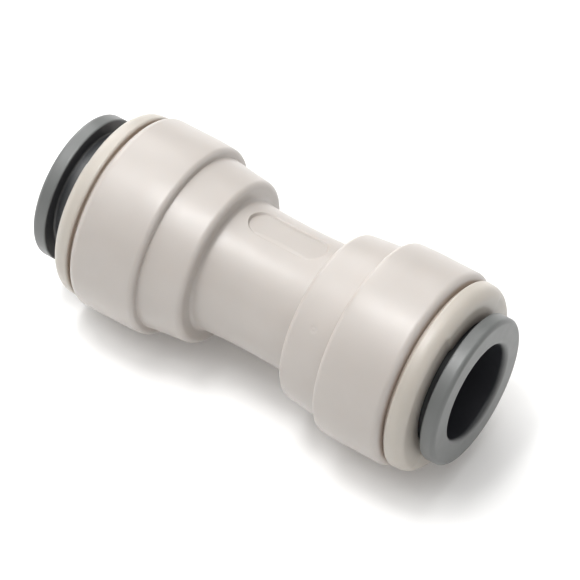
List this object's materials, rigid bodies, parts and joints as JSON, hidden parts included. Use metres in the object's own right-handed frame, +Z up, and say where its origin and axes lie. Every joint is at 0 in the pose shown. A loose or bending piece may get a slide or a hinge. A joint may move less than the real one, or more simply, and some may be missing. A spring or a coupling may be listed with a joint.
{
  "type": "push fit coupling",
  "caption": "Straight push-fit coupling that joins two equal 12 mm tubes, with a release collet, cap, O-ring and grip teeth at each end.",
  "frame": {"origin": "middle of the body, on the tube axis", "axes": "+X along the tube axis towards the end whose collet is pushed nearly in, +Z up with the coupling lying on its side"},
  "size_m": [0.057, 0.025, 0.025],
  "materials": {
    "body_acetal": "satin moulded",
    "cap_acetal": "satin moulded",
    "collet_acetal": "satin moulded",
    "washer_plastic": "moulded",
    "nitrile_rubber": "matt",
    "stainless_steel": "bright rolled strip"
  },
  "bodies": {
    "coupling_body": {"body": "body_acetal", "left_cap": "cap_acetal", "right_cap": "cap_acetal", "left_oring": "nitrile_rubber", "right_oring": "nitrile_rubber"},
    "left_spacer": {"left_washer": "washer_plastic"},
    "left_gripper": {"left_collet": "collet_acetal", "left_tooth_1": "stainless_steel", "left_tooth_2": "stainless_steel", "left_tooth_3": "stainless_steel", "left_tooth_4": "stainless_steel", "left_tooth_5": "stainless_steel", "left_tooth_6": "stainless_steel", "left_tooth_7": "stainless_steel", "left_tooth_8": "stainless_steel"},
    "right_spacer": {"right_washer": "washer_plastic"},
    "right_gripper": {"right_collet": "collet_acetal", "right_tooth_1": "stainless_steel", "right_tooth_2": "stainless_steel", "right_tooth_3": "stainless_steel", "right_tooth_4": "stainless_steel", "right_tooth_5": "stainless_steel", "right_tooth_6": "stainless_steel", "right_tooth_7": "stainless_steel", "right_tooth_8": "stainless_steel"}
  },
  "joints": [
    {"name": "left_collet_turn", "type": "hinge", "parent": "coupling_body", "child": "left_spacer", "pos_m": [-0.012, 0, 0], "axis": [1, 0, 0], "continuous": true},
    {"name": "left_collet_slide", "type": "slide", "parent": "left_spacer", "child": "left_gripper", "axis": [-1, 0, 0], "range_m": [-0.0024, 0]},
    {"name": "right_collet_turn", "type": "hinge", "parent": "coupling_body", "child": "right_spacer", "pos_m": [0.012, 0, 0], "axis": [1, 0, 0], "continuous": true},
    {"name": "right_collet_slide", "type": "slide", "parent": "right_spacer", "child": "right_gripper", "axis": [1, 0, 0], "range_m": [-0.0006, 0.0018]}
  ]
}
